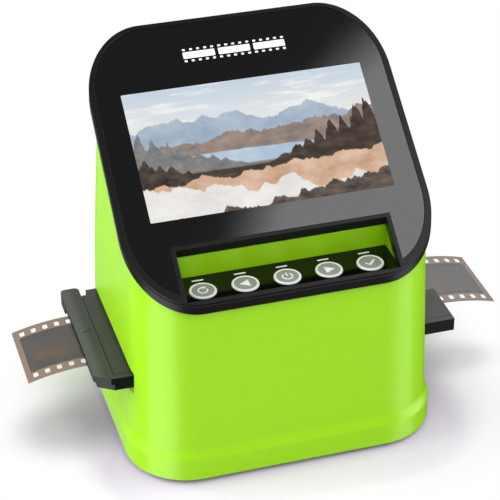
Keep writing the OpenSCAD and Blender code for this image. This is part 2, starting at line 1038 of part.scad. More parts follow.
module holder_guide() {
    w = lid_back - holder_front + 2 * tray_play + 2 * guide_wall;
    mid_y = (lid_back + holder_front) / 2;
    h = guide_top - guide_under;
    color("#26282b")
        difference() {
            union() {
                translate([0, mid_y, guide_under])
                    block(guide_l, w, h);
                at_corners(leg_x, leg_y)
                    translate([0, 0, plate_top])
                        cylinder(d = boss_dia, h = guide_under - plate_top + eps);
            }
            translate([0, mid_y, guide_floor])
                block(far, w - 2 * guide_wall, guide_roof - guide_floor);
            translate([0, film_y, guide_floor - film_relief])
                block(far, film_w + 2, film_relief + 1);
            translate([0, film_y, guide_under - 1])
                block(aperture_l, aperture_w, h + 2);
            at_corners(leg_x, leg_y)
                translate([0, 0, plate_top - 1])
                    cylinder(r = screw_dia / 2 - thread_bite, h = leg_bore + 1);
            translate([detent_x, lid_back + tray_play + guide_wall / 2, guide_floor])
                block(detent_l + 2, guide_wall + 1, guide_roof - guide_floor);
        }
}

module guide_screws() {
    color("#8d9096")
        at_corners(leg_x, leg_y)
            plate_screw();
}

// Leaf spring on the guide's back wall, whose bump sits in the holder's notch
module detent_spring() {
    bump_y = lid_back - bump_in + bump_r;
    leaf_y = lid_back + tray_play + guide_wall - 1;
    color("#b9bcc0")
        translate([detent_x, 0, film_z - detent_h / 2])
            linear_extrude(detent_h)
                union() {
                    translate([-detent_l / 2, leaf_y])
                        square([detent_l, detent_t]);
                    difference() {
                        translate([0, bump_y])
                            circle(r = bump_r);
                        translate([0, bump_y])
                            circle(r = bump_r - detent_t);
                        translate([-far / 2, bump_y])
                            square(far);
                    }
                    for (s = [-1, 1])
                        translate([s * (bump_r - detent_t / 2) - detent_t / 2, bump_y - eps])
                            square([detent_t, leaf_y - bump_y + 2 * eps]);
                }
}

module light_board() {
    color("#e9ecec")
        translate([0, film_y, light_board_z])
            plate(light_w, light_d, board_t, 2);
}

module light_leds() {
    color("#fff4c8")
        for (x = [-1 : 1], y = [-1, 1])
            translate([x * light_w / 4, film_y + y * light_d / 5, light_box_z])
                block(5, 5, 1.4);
}

module light_box() {
    h = diffuser_z - light_box_z;
    color("#f4f5f2")
        translate([0, film_y, light_box_z])
            difference() {
                block(light_w - 1, light_d - 1, h);
                translate([0, 0, -1])
                    block(light_w - 4, light_d - 4, h + 2);
            }
}

module diffuser() {
    color("#fafafa")
        translate([0, film_y, diffuser_z])
            plate(light_w - 2, light_d - 2, diffuser_t);
}

module camera_tower() {
    color("#2b2d30")
        translate([0, film_y, guide_top])
            difference() {
                union() {
                    block(tower_w, tower_d, tower_step);
                    block(neck_w, neck_w, neck_top - guide_top);
                }
                translate([0, 0, -1])
                    block(tower_w - 2 * tower_wall, tower_d - 2 * tower_wall, tower_step);
                translate([0, 0, tower_step - 2])
                    cylinder(r = lens_dia / 2 + run_gap, h = far);
            }
}

module lens_barrel() {
    color("#1a1b1d")
        translate([0, film_y, lens_z])
            difference() {
                cylinder(d = lens_dia, h = lens_l);
                translate([0, 0, -1])
                    cylinder(d = lens_dia - 3, h = 4.5);
                translate([0, 0, lens_l - 4])
                    cylinder(d = lens_dia - 5, h = 5);
                translate([0, 0, 1])
                    cylinder(d = 4, h = lens_l);
            }
}

module lens_glass() {
    color("#9fc3d8")
        translate([0, film_y, lens_z + 1.6])
            cylinder(d = lens_dia - 3.1, h = 1.9);
}

module sensor_board() {
    color("#1f6b3a")
        translate([0, film_y, sensor_z])
            difference() {
                plate(neck_w + 4, neck_w + 4, board_t);
                translate([0, 0, -1])
                    block(9, 8, 1 + 0.6);
            }
}

module image_sensor() {
    color("#2d3a55")
        translate([0, film_y, sensor_z - 1])
            block(8.6, 7.6, 1.6);
}

module main_board() {
    color("#1f6b3a")
        difference() {
            translate([-board_w / 2, board_y, board_z0])
                cube([board_w, board_t, board_h]);
            board_bores(small_screw_r + 0.3, board_y - 1, board_y + board_t + 1);
        }
}

module board_screws() {
    color("#8d9096")
        for (x = [-1, 1], z = [-1, 1])
            translate([x * board_hole_dx, board_y, board_mid_z + z * board_hole_dz])
                rotate([-90, 0, 0])
                    screw(small_screw_r - 0.1, board_screw_l, small_head_r, small_head_h);
}

// Metal socket shell on the main board, open towards the back
module socket(x, size, mouth, tongue) {
    depth = back_y(socket_z) - board_y - board_t - 0.6;
    translate([x, board_y + board_t, socket_z])
        rotate([-90, 0, 0]) {
            difference() {
                block(size[0], size[1], depth);
                translate([0, 0, 1])
                    block(mouth[0], mouth[1], depth);
            }
            translate([0, 0, 1 - eps])
                block(tongue[0], tongue[1], depth - 2.5);
        }
}

module usb_socket() {
    color("#c4c7cb")
        socket(usb_x, usb_size, usb_mouth, usb_tongue);
}

module card_socket() {
    color("#c4c7cb")
        socket(card_x, card_size, card_mouth, card_tongue);
}

module video_socket() {
    color("#c4c7cb")
        socket(video_x, video_size, video_mouth, video_tongue);
}

// ---------- the parts ----------

body_shell();
base_plate();
rubber_feet();
base_screws();
panel_frame();
front_glass();
lcd_module();
lcd_bracket();
bracket_screws();
key_plate();
key_board();
key_screws();
tact_switches();
button(-2);  // button_mode
button(-1);  // button_left
button(0);  // button_power
button(1);  // button_right
button(2);  // button_ok
plunger(-2);  // plunger_mode
plunger(-1);  // plunger_left
plunger(0);  // plunger_power
plunger(1);  // plunger_right
plunger(2);  // plunger_ok
holder_guide();
guide_screws();
detent_spring();
holder_tray();
holder_lid();
lid_pins();
film_strip();
light_board();
light_leds();
light_box();
diffuser();
camera_tower();
lens_barrel();
lens_glass();
sensor_board();
image_sensor();
main_board();
board_screws();
usb_socket();
card_socket();
video_socket();
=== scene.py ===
"""A desktop film scanner in lime-green plastic, dressed around its packed construction model.

Metres, +Z up, front towards -Y. The origin is on the table, under the middle of the footprint.
Sizes in the named values are millimetres unless a comment says otherwise.
"""

import json
import math

import bmesh
import bpy
from mathutils import Euler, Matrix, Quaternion, Vector


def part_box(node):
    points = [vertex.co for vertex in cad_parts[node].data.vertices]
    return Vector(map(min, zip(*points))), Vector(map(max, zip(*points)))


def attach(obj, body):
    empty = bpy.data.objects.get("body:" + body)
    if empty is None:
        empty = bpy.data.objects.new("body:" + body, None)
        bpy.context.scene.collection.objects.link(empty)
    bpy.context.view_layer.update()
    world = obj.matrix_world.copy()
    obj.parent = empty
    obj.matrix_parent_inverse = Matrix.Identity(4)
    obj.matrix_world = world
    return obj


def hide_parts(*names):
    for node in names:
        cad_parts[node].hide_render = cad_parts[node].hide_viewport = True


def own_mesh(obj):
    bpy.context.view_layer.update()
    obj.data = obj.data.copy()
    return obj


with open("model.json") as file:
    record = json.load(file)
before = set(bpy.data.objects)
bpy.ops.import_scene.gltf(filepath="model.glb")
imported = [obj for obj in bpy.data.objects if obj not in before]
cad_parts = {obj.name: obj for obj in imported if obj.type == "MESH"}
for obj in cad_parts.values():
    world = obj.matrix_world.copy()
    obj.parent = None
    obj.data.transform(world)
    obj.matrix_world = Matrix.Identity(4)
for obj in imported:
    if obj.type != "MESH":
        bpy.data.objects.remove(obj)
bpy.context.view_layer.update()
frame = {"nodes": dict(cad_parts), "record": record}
NODES = frame["nodes"]
MM = 0.001

# ---------- places taken from the construction ----------

PANEL_LEAN = math.radians(37)
PICTURE_MIDDLE = Vector((0, -1.6, 117.4))
PANEL_UP = Vector((0, math.cos(PANEL_LEAN), math.sin(PANEL_LEAN)))
PANEL_OUT = Vector((0, -math.sin(PANEL_LEAN), math.cos(PANEL_LEAN)))
PICTURE_W = 95
PICTURE_H = 52.6
GLASS_FACE = -0.2

FILM_W = 35
FILM_T = 0.15
FILM_Z = 38.6
FILM_CURL_R = 84
PERF_PITCH = 4.75
FRAME_PITCH = 38
FRAME_L = 36
FRAME_W = 24

BUTTONS = ("mode", "left", "power", "right", "ok")


def in_mm(node):
    """Lowest and highest corner of a construction node, in millimetres."""
    low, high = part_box(node)
    return low / MM, high / MM


def film_mid_y():
    """Y of the strip's middle line, in millimetres."""
    low, high = in_mm("film_strip")
    return (low.y + high.y) / 2


def on_panel(u, v, n):
    """Point of the panel: u across, v up the slope and n out of it, from the picture's middle."""
    return PICTURE_MIDDLE + Vector((u, 0, 0)) + PANEL_UP * v + PANEL_OUT * n


# ---------- node trees ----------

def rgb(red, green, blue):
    """Screen colour in 0..255 as the linear colour that a shader takes."""
    def linear(c):
        c = c / 255
        return c / 12.92 if c <= 0.04045 else ((c + 0.055) / 1.055) ** 2.4
    return (linear(red), linear(green), linear(blue), 1.0)


WHITE = (1, 1, 1, 1)
BLACK = (0, 0, 0, 1)


class Graph:
    """Short calls that build the node tree of one material."""

    def __init__(self, name):
        self.mat = bpy.data.materials.new(name)
        self.mat.use_nodes = True
        self.nodes = self.mat.node_tree.nodes
        self.links = self.mat.node_tree.links
        self.bsdf = self.nodes["Principled BSDF"]
        self.out = self.nodes["Material Output"]

    def put(self, socket, value):
        if isinstance(value, bpy.types.NodeSocket):
            self.links.new(value, socket)
        else:
            socket.default_value = value

    def node(self, kind, inputs=None, **props):
        made = self.nodes.new("ShaderNode" + kind)
        for key, value in props.items():
            setattr(made, key, value)
        for key, value in (inputs or {}).items():
            self.put(made.inputs[key], value)
        return made

    def surface(self, **values):
        """Sets sockets of the Principled shader, with _ for each space in a name."""
        for key, value in values.items():
            self.put(self.bsdf.inputs[key.replace("_", " ")], value)

    def math(self, operation, a, b=0.0, c=0.0, clamp=False):
        inputs = {0: a, 1: b, 2: c}
        return self.node("Math", inputs, operation=operation, use_clamp=clamp).outputs[0]

    def vector(self, operation, a, b=(0, 0, 0), output="Vector"):
        return self.node("VectorMath", {0: a, 1: b}, operation=operation).outputs[output]

    def coords(self):
        return self.node("TexCoord").outputs["Object"]

    def axis(self, name):
        """Object coordinate along one axis, in millimetres."""
        metres = self.node("SeparateXYZ", {0: self.coords()}).outputs[name]
        return self.math("DIVIDE", metres, MM)

    def along(self, direction, origin):
        """Distance in millimetres along a direction from a point given in millimetres."""
        away = self.vector("SUBTRACT", self.coords(), origin * MM)
        return self.math("DIVIDE", self.vector("DOT_PRODUCT", away, direction, "Value"), MM)

    def looks_up(self):
        """Z of the surface's normal: 1 on faces that look up and -1 on those that look down."""
        normal = self.node("NewGeometry").outputs["Normal"]
        return self.node("SeparateXYZ", {0: normal}).outputs["Z"]

    def noise(self, scale, detail=3.0, rough=0.5, vector=None, seed=0.0):
        """Noise of a scale in waves per millimetre, or per unit of a vector that is given."""
        if vector is None:
            vector = self.coords()
            scale = scale / MM
        inputs = {
            "Vector": vector, "W": seed, "Scale": scale, "Detail": detail, "Roughness": rough,
        }
        return self.node("TexNoise", inputs, noise_dimensions="4D").outputs[0]

    def noise_line(self, value, scale, seed, detail, rough):
        """Noise along one value."""
        w = self.math("MULTIPLY_ADD", value, scale, seed)
        inputs = {"W": w, "Scale": 1.0, "Detail": detail, "Roughness": rough}
        return self.node("TexNoise", inputs, noise_dimensions="1D").outputs[0]

    def ramp(self, value, low, high, to_low=0.0, to_high=1.0, smooth=False):
        kind = "SMOOTHSTEP" if smooth else "LINEAR"
        inputs = {0: value, 1: low, 2: high, 3: to_low, 4: to_high}
        return self.node("MapRange", inputs, interpolation_type=kind).outputs[0]

    def mix(self, factor, a, b):
        """Colour a where the factor is 0 and b where it is 1."""
        made = self.node("Mix", data_type="RGBA")
        self.put(made.inputs[0], factor)
        self.put(made.inputs[6], a)
        self.put(made.inputs[7], b)
        return made.outputs[2]

    def relief(self, height, depth, edge=0.0):
        """Bump of a depth in millimetres, over edges rounded by a radius in millimetres."""
        inputs = {"Height": height, "Distance": depth * MM}
        if edge:
            inputs["Normal"] = self.node("Bevel", {"Radius": edge * MM}, samples=6).outputs[0]
        self.surface(Normal=self.node("Bump", inputs).outputs[0])


class WorldGraph(Graph):
    """The same calls for the tree of a world."""

    def __init__(self, world):
        world.use_nodes = True
        self.nodes = world.node_tree.nodes
        self.links = world.node_tree.links


# ---------- finishes ----------

def scaled(colour, share):
    """A colour made darker or lighter by a share."""
    return [min(1, c * share) for c in colour[:3]] + [1]


def plastic(name, colour, roughness, specular=0.5, tint=0.04, grain=0.02, grain_scale=1.4,
            edge=0.25):
    """Moulded plastic: slight changes of tone and gloss, a fine grain and rounded edges."""
    g = Graph(name)
    cloud = g.noise(0.03)
    g.surface(
        Base_Color=g.mix(cloud, scaled(colour, 1 - tint), scaled(colour, 1 + tint)),
        Roughness=g.ramp(g.noise(0.12), 0.3, 0.7, roughness * 0.92, roughness * 1.08),
        Specular_IOR_Level=specular,
    )
    g.relief(g.noise(grain_scale, 2.0), grain, edge)
    return g


def housing_plastic():
    lime = rgb(153, 214, 16)
    return plastic("housing_plastic", lime, 0.3, tint=0.012, grain=0.004, edge=0.35).mat


def dark_plastic():
    return plastic("dark_plastic", rgb(30, 31, 33), 0.5).mat


def foot_rubber():
    return plastic("foot_rubber", rgb(22, 22, 23), 0.75, specular=0.3, grain=0.05).mat


def panel_plastic():
    """Satin plastic, matt where it looks down into the key opening, and darker there as painted
    shade.
    """
    satin, matt = 0.3, 0.9
    g = plastic("panel_plastic", rgb(19, 19, 20), satin, specular=0.27, grain=0.004,
                grain_scale=2.5, edge=0.3)
    not_looking_down = g.ramp(g.looks_up(), -0.4, -0.1)
    dark_grey = g.bsdf.inputs["Base Color"].links[0].from_socket
    # Faces that look down are darker, as painted shade, and matt.
    g.surface(
        Base_Color=g.mix(not_looking_down, rgb(6, 6, 6), dark_grey),
        Roughness=g.ramp(not_looking_down, 0.0, 1.0, matt, satin),
    )
    return g.mat


def holder_plastic():
    """Satin plastic with a painted sheen on its top faces, weaker by the housing's left wall as
    painted shade.
    """
    g = plastic("holder_plastic", rgb(14, 15, 16), 0.36, specular=0.3, grain=0.01,
                grain_scale=2.2, edge=0.2)
    x = g.axis("X")
    # Painted shade: the top is darker between the tab and the housing's left wall; the tab and the
    # right end are not.
    on_tab = g.ramp(x, -71.0, -68.0, 1.0, 0.0)
    on_right_end = g.ramp(x, 0.0, 20.0)
    clear_of_wall_shade = g.math("MAXIMUM", on_tab, on_right_end)
    # Painted sheen of the light from above on the top faces, with a slight random tone.
    top_sheen = g.mix(g.noise(0.03), rgb(76, 74, 78), rgb(81, 79, 83))
    top = g.mix(clear_of_wall_shade, rgb(54, 53, 54), top_sheen)
    # Faces that look up take the painted sheen; the others keep the dark base colour.
    on_top = g.ramp(g.looks_up(), 0.85, 0.97)
    g.surface(Base_Color=g.mix(on_top, rgb(12, 12, 13), top))
    return g.mat


def key_plate_plastic():
    return plastic("key_plate_plastic", rgb(7, 8, 6), 0.12, specular=0.3, grain=0.002).mat


def white_plastic():
    return plastic("white_plastic", rgb(238, 238, 234), 0.5).mat


def panel_glass():
    """Polished black window, with the faintest waviness."""
    g = Graph("panel_glass")
    g.surface(
        Base_Color=g.mix(g.noise(0.02), rgb(7, 7, 8), rgb(10, 10, 11)),
        Roughness=g.ramp(g.noise(0.05), 0.3, 0.7, 0.045, 0.06),
        IOR=1.75,
    )
    g.relief(g.noise(0.04, 1.0), 0.002, 0.15)
    return g.mat


def metal(name, colour, roughness, brushed=0.0):
    """Bare metal, with fine lines along X where it is brushed."""
    g = Graph(name)
    stretch = g.node("Mapping", {0: g.coords(), "Scale": (1 - brushed, 1, 1)}).outputs[0]
    streaks = g.noise(2.0 / MM, 4.0, 0.6, vector=stretch)
    g.surface(
        Base_Color=g.mix(streaks, scaled(colour, 0.85), colour),
        Metallic=1.0,
        Roughness=g.ramp(streaks, 0.3, 0.7, roughness * 0.8, roughness * 1.2),
    )
    g.relief(streaks, 0.01, 0.15)
    return g.mat


def screw_steel():
    return metal("screw_steel", rgb(176, 178, 182), 0.32)


def sheet_metal():
    return metal("sheet_metal", rgb(186, 188, 192), 0.3, brushed=0.9)


def switch_metal():
    return metal("switch_metal", rgb(190, 192, 194), 0.35)


def socket_metal():
    return metal("socket_metal", rgb(206, 208, 212), 0.22, brushed=0.8)


TRACK_PITCH = 3


def circuit_board():
    """Solder mask with faint tracks."""
    g = Graph("circuit_board")
    bricks = {"Vector": g.coords(), "Scale": 1 / (TRACK_PITCH * MM), "Mortar Size": 0.06}
    tracks = g.node("TexBrick", bricks).outputs["Fac"]
    g.surface(
        Base_Color=g.mix(tracks, rgb(22, 92, 48), rgb(44, 128, 72)),
        Roughness=g.ramp(g.noise(0.4), 0.3, 0.7, 0.26, 0.36),
    )
    g.relief(tracks, 0.02)
    return g.mat


def lens_glass():
    g = Graph("lens_glass")
    g.surface(
        Base_Color=g.mix(g.noise(0.1), rgb(120, 130, 190), rgb(150, 160, 220)),
        Roughness=0.03,
        IOR=1.6,
        Transmission_Weight=0.8,
    )
    return g.mat


def sensor():
    g = Graph("sensor")
    g.surface(
        Base_Color=g.mix(g.noise(0.3), rgb(26, 34, 60), rgb(40, 48, 84)),
        Roughness=0.12,
    )
    return g.mat


# The film's opacity at its left and right end, and how far from the middle those lie; the clearer
# right end is painted light
FILM_ALPHA = (0.82, 0.66)
FILM_ALPHA_X = 70.0
FRAME_EDGE = 0.3


def film():
    """Colour negative film: a brown base with a dark picture in each frame, made clearer towards +X
    as painted light.
    """
    def within(distance, half):
        """1 up to half a frame's size from its middle, and 0 beyond."""
        return g.ramp(distance, half - FRAME_EDGE, half, 1.0, 0.0)

    g = Graph("film")
    x = g.axis("X")
    y = g.math("SUBTRACT", g.axis("Y"), film_mid_y())
    inside_x = within(g.math("PINGPONG", x, FRAME_PITCH / 2), FRAME_L / 2)
    inside_y = within(g.math("ABSOLUTE", y), FRAME_W / 2)
    picture = g.math("MULTIPLY", inside_x, inside_y)
    blotch = g.ramp(g.noise(0.09, 3.0, 0.6), 0.42, 0.62, smooth=True)
    warm = g.ramp(g.noise(0.1, 4.0, 0.6, seed=4.0), 0.48, 0.64, smooth=True)
    scene = g.mix(blotch, rgb(60, 60, 61), rgb(68, 63, 61))
    scene = g.mix(g.math("MULTIPLY", warm, 0.85), scene, rgb(102, 66, 50))
    base = g.mix(g.noise(0.02), rgb(133, 107, 97), rgb(141, 115, 105))
    g.surface(
        Base_Color=g.mix(picture, base, scene),
        Roughness=0.25,
        Specular_IOR_Level=0.35,
        # Painted light: the opacity falls towards +X so that the right end shows lighter.
        Alpha=g.ramp(x, -FILM_ALPHA_X, FILM_ALPHA_X, *FILM_ALPHA),
    )
    return g.mat


def print_white():
    """White print on the glass and on the keys."""
    g = Graph("print_white")
    white = g.mix(g.noise(0.5), rgb(246, 247, 246), rgb(252, 252, 252))
    g.surface(Base_Color=white, Roughness=0.45)
    return g.mat


def key_ring():
    return plastic("key_ring", rgb(243, 246, 240), 0.3, grain=0.002, edge=0.1).mat


def key_centre():
    """Silver-grey paint in the middle of a key."""
    g = Graph("key_centre")
    fleck = g.noise(6.0, 2.0)
    g.surface(
        Base_Color=g.mix(fleck, rgb(142, 147, 140), rgb(156, 161, 154)),
        Roughness=0.4,
        Specular_IOR_Level=0.3,
    )
    g.relief(fleck, 0.003, 0.08)
    return g.mat


RIDGE_EDGE = 0.02
FIR_EDGE = 0.025


def display():
    """A lit picture of hills over a lake: pale sky, blue range, dark trees and a sandy shore.

    u and v run from -1 to 1 across and up the picture.
    """
    g = Graph("display")
    u = g.math("DIVIDE", g.along(Vector((1, 0, 0)), PICTURE_MIDDLE), PICTURE_W / 2)
    v = g.math("DIVIDE", g.along(PANEL_UP, PICTURE_MIDDLE), PICTURE_H / 2)
    spot = g.node("CombineXYZ", {0: u, 1: v}).outputs[0]
    wide = g.node("CombineXYZ", {0: u, 1: g.math("MULTIPLY", v, 4.0)}).outputs[0]

    sky = g.mix(g.ramp(v, 0.1, 1.0), rgb(238, 234, 228), rgb(196, 210, 224))
    clouds = g.ramp(g.noise(2.2, 5.0, 0.6, vector=wide, seed=3.0), 0.48, 0.7, smooth=True)
    shown = g.mix(clouds, sky, rgb(243, 243, 241))

    def under(line, edge):
        return g.ramp(g.math("SUBTRACT", line, v), 0.0, edge)

    def ridge(height, tilt, rise, scale, seed):
        """1 under a ridge whose line wanders with u, and 0 over it."""
        line = g.noise_line(u, scale, seed, 5.0, 0.55)
        line = g.ramp(line, 0.25, 0.75, height - rise, height + rise)
        return under(g.math("ADD", line, g.math("MULTIPLY", u, tilt)), RIDGE_EDGE)

    def wood(shore, far_end, near_end, rise, seed):
        """1 under a row of firs that grows from the shore at u = near_end up to u = far_end."""
        height = g.ramp(u, near_end, far_end, 0.0, rise)
        wander = g.noise_line(u, 5.0, seed, 3.0, 0.5)
        comb = g.math("PINGPONG", g.math("MULTIPLY_ADD", u, 9.0, wander), 0.5)
        ragged = g.math("MULTIPLY", g.noise_line(u, 14.0, seed + 3.0, 4.0, 0.7), 0.6)
        tops = g.math("ADD", g.math("SUBTRACT", 0.9, comb), ragged)
        return under(g.math("MULTIPLY_ADD", height, tops, shore), FIR_EDGE)

    # From far to near: where, darker and lighter colour, scale and seed of the mottling
    layers = (
        (ridge(0.42, -0.10, 0.20, 1.4, 7.0), rgb(150, 168, 190), rgb(184, 196, 210), 3.0, 1.0),
        (ridge(0.18, 0.16, 0.16, 2.1, 2.0), rgb(122, 112, 112), rgb(172, 150, 134), 5.0, 2.0),
        (ridge(-0.08, 0.0, 0.03, 1.5, 5.0), rgb(150, 178, 206), rgb(204, 216, 226), 2.0, 3.0),
        (wood(-0.30, -1.05, -0.12, 0.62, 11.0), rgb(104, 108, 112), rgb(150, 146, 142), 7.0, 6.0),
        (wood(-0.34, 1.05, 0.05, 0.74, 4.0), rgb(40, 36, 34), rgb(92, 74, 60), 8.0, 4.0),
        (wood(-0.42, -1.05, -0.45, 0.40, 21.0), rgb(44, 40, 40), rgb(96, 82, 70), 8.0, 12.0),
        (ridge(-0.42, 0.10, 0.10, 2.6, 9.0), rgb(196, 152, 122), rgb(228, 200, 176), 4.0, 5.0),
        (ridge(-0.66, -0.16, 0.14, 3.2, 13.0), rgb(222, 218, 214), rgb(242, 240, 238), 3.0, 8.0),
        (ridge(-0.92, 0.22, 0.10, 4.4, 17.0), rgb(56, 50, 50), rgb(120, 104, 94), 8.0, 9.0),
    )
    for where, darker, lighter, scale, seed in layers:
        tone = g.ramp(g.noise(scale, 5.0, 0.65, vector=spot, seed=seed), 0.35, 0.68)
        shown = g.mix(where, shown, g.mix(tone, darker, lighter))

    g.surface(
        Base_Color=rgb(12, 12, 13),
        Roughness=0.3,
        Specular_IOR_Level=0.1,
        Emission_Color=shown,
        Emission_Strength=1.0,
    )
    return g.mat


FINISHES = {
    "housing_plastic": housing_plastic, "dark_plastic": dark_plastic, "foot_rubber": foot_rubber,
    "screw_steel": screw_steel, "panel_plastic": panel_plastic, "panel_glass": panel_glass,
    "display": display, "sheet_metal": sheet_metal, "key_plate_plastic": key_plate_plastic,
    "circuit_board": circuit_board, "switch_metal": switch_metal, "button_plastic": key_ring,
    "holder_plastic": holder_plastic, "film": film, "white_plastic": white_plastic,
    "lens_glass": lens_glass, "sensor": sensor, "socket_metal": socket_metal,
}


def dress(piece, mat):
    """Gives a piece one material in place of its own."""
    piece.data.materials.clear()
    piece.data.materials.append(mat)


def dress_construction():
    """Each construction node takes the finish of its slot in the record."""
    made = {slot: make() for slot, make in FINISHES.items()}
    for part in frame["record"]["subparts"]:
        dress(NODES[part["node"]], made[part["material_slot"]])
    return made


# ---------- mesh pieces ----------

def add_object(name, data):
    """Puts an object into the scene."""
    made = bpy.data.objects.new(name, data)
    bpy.context.scene.collection.objects.link(made)
    return made


def new_piece(name, bm, body, slot, *mats):
    """Turns a bmesh in millimetres into a piece that rides on a body."""
    mesh = bpy.data.meshes.new(name)
    bmesh.ops.scale(bm, vec=(MM, MM, MM), verts=bm.verts)
    bmesh.ops.recalc_face_normals(bm, faces=bm.faces)
    bm.to_mesh(mesh)
    bm.free()
    for mat in mats:
        mesh.materials.append(mat)
    piece = add_object(name, mesh)
    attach(piece, body)
    return piece


def prism(bm, outline, place, low, high):
    """Closed flat form over an outline of (a, b); place gives the point of (a, b, height)."""
    bottom = [bm.verts.new(place(a, b, low)) for a, b in outline]
    top = [bm.verts.new(place(a, b, high)) for a, b in outline]
    bm.faces.new(top)
    bm.faces.new(bottom[::-1])
    count = len(outline)
    for i in range(count):
        j = (i + 1) % count
        bm.faces.new((bottom[i], bottom[j], top[j], top[i]))


def rounded_outline(width, height, radius, middle=(0, 0), steps=2):
    """Points of a rectangle with round corners."""
    points = []
    for k, (sx, sy) in enumerate(((1, 1), (-1, 1), (-1, -1), (1, -1))):
        cx = middle[0] + sx * (width / 2 - radius)
        cy = middle[1] + sy * (height / 2 - radius)
        for i in range(steps + 1):
            angle = math.radians(90 * (k + i / steps))
            points.append((cx + radius * math.cos(angle), cy + radius * math.sin(angle)))
    return points


# A ribbon's corner reaches out to at most 1 / MITRE_LIMIT of its half width
MITRE_LIMIT = 0.5
ARC_STEPS = 24


def ribbon(points, width):
    """Outline of a line of constant width through the points."""
    left, right = [], []
    last = len(points) - 1
    for i, (x, y) in enumerate(points):
        ax, ay = points[max(i - 1, 0)]
        bx, by = points[min(i + 1, last)]
        length = math.hypot(bx - ax, by - ay)
        nx, ny = -(by - ay) / length, (bx - ax) / length
        half = width / 2
        if 0 < i < last:
            turn = math.atan2(by - y, bx - x) - math.atan2(y - ay, x - ax)
            half /= max(MITRE_LIMIT, math.cos(turn / 2))
        left.append((x + nx * half, y + ny * half))
        right.append((x - nx * half, y - ny * half))
    return left + right[::-1]


def arc(radius, start, end):
    """Points of an arc round the origin, in degrees."""
    turn = (end - start) / ARC_STEPS
    angles = [math.radians(start + turn * i) for i in range(ARC_STEPS + 1)]
    return [(radius * math.cos(a), radius * math.sin(a)) for a in angles]


SHARP_EDGE = math.radians(35)


def shade_by_angle(piece):
    """Smooth shading that keeps the sharp edges."""
    bm = bmesh.new()
    bm.from_mesh(piece.data)
    for edge in bm.edges:
        edge.smooth = len(edge.link_faces) == 2 and edge.calc_face_angle(0) < SHARP_EDGE
    for face in bm.faces:
        face.smooth = True
    bm.to_mesh(piece.data)
    bm.free()


# ---------- housing ----------

# How far the upper back corners go in at the rim, and the height from which they do
TUCK = 3.0
TUCK_FROM = 60
# Middle of a corner's arc, seen from above, and how near to it the inside of the housing stays
BACK_CORNER = Vector((34.5, 19.5))
CORNER_IN = 20
# Powers by which the tuck fades round the corner and down the wall
FADE_ROUND = 1.8
FADE_DOWN = 1.3


def housing_shell(mats):
    """The housing, with its upper back corners drawn in so that the panel hides them."""
    node = NODES["body_shell"]
    piece = add_object("housing_shell", node.data.copy())
    piece.matrix_world = node.matrix_world.copy()
    dress(piece, mats["housing_plastic"])
    placed = node.matrix_world
    back = placed.inverted()
    for vert in piece.data.vertices:
        spot = placed @ vert.co / MM
        reach = Vector((abs(spot.x), spot.y)) - BACK_CORNER
        if spot.z < TUCK_FROM or min(reach) <= 0 or reach.length < CORNER_IN:
            continue
        rim = PICTURE_MIDDLE.z + (spot.y - PICTURE_MIDDLE.y) * math.tan(PANEL_LEAN)
        share = (2 * reach.x * reach.y / reach.length_squared) ** FADE_ROUND
        share *= ((spot.z - TUCK_FROM) / (rim - TUCK_FROM)) ** FADE_DOWN
        pull = reach.normalized() * TUCK * share
        spot -= Vector((math.copysign(pull.x, spot.x), pull.y, 0))
        vert.co = back @ (spot * MM)
    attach(piece, "housing")
    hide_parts("body_shell")


# ---------- keys ----------

RING_W = 0.9
CUP = 0.25
KEY_FLANGE_T = 1.4
KEY_FLANGE_OUT = 0.7
KEY_SEGMENTS = 64
PRINT_T = 0.05
SIGN_LINE = 0.62
CHECK_LINE = 0.75
# Height of a sign's underside over the lowest part of the cup
SIGN_RISE = 0.07

MARK_W = 4.6
MARK_H = 0.8
MARK_BEHIND = 7.4


def key_profile(radius, bottom, top):
    """Half section of a key from its axis outwards: (radius, height, is centre)."""
    cup = top - CUP
    ring = radius - RING_W
    flange = radius + KEY_FLANGE_OUT
    shoulder = bottom + KEY_FLANGE_T
    return [
        (0, cup + 0.10, True), (radius * 0.5, cup + 0.08, True),
        (ring - 0.5, cup, True), (ring - 0.22, cup - 0.02, True),
        (ring - 0.05, top - 0.1, False), (ring + 0.1, top, False),
        (radius - 0.35, top, False), (radius - 0.1, top - 0.1, False), (radius, top - 0.35, False),
        (radius, shoulder, False), (flange, shoulder, False),
        (flange, bottom, False), (0, bottom, False),
    ]


def sign_outlines(name):
    """Outlines of the sign on a key, round the key's middle."""
    if name == "mode":
        head = [(1.75, 1.75), (0.35, 0.75), (0.35, 2.75)]
        return [ribbon(arc(1.75, 80, 385), SIGN_LINE), head]
    if name in ("left", "right"):
        side = 1 if name == "right" else -1
        return [[(-1.5 * side, 2.2), (-1.5 * side, -2.2), (2.3 * side, 0)]]
    if name == "power":
        return [ribbon(arc(1.9, 125, 415), SIGN_LINE), ribbon([(0, 0.3), (0, 2.45)], SIGN_LINE)]
    return [ribbon([(-1.9, 0.1), (-0.5, -1.45), (2.0, 1.5)], CHECK_LINE)]


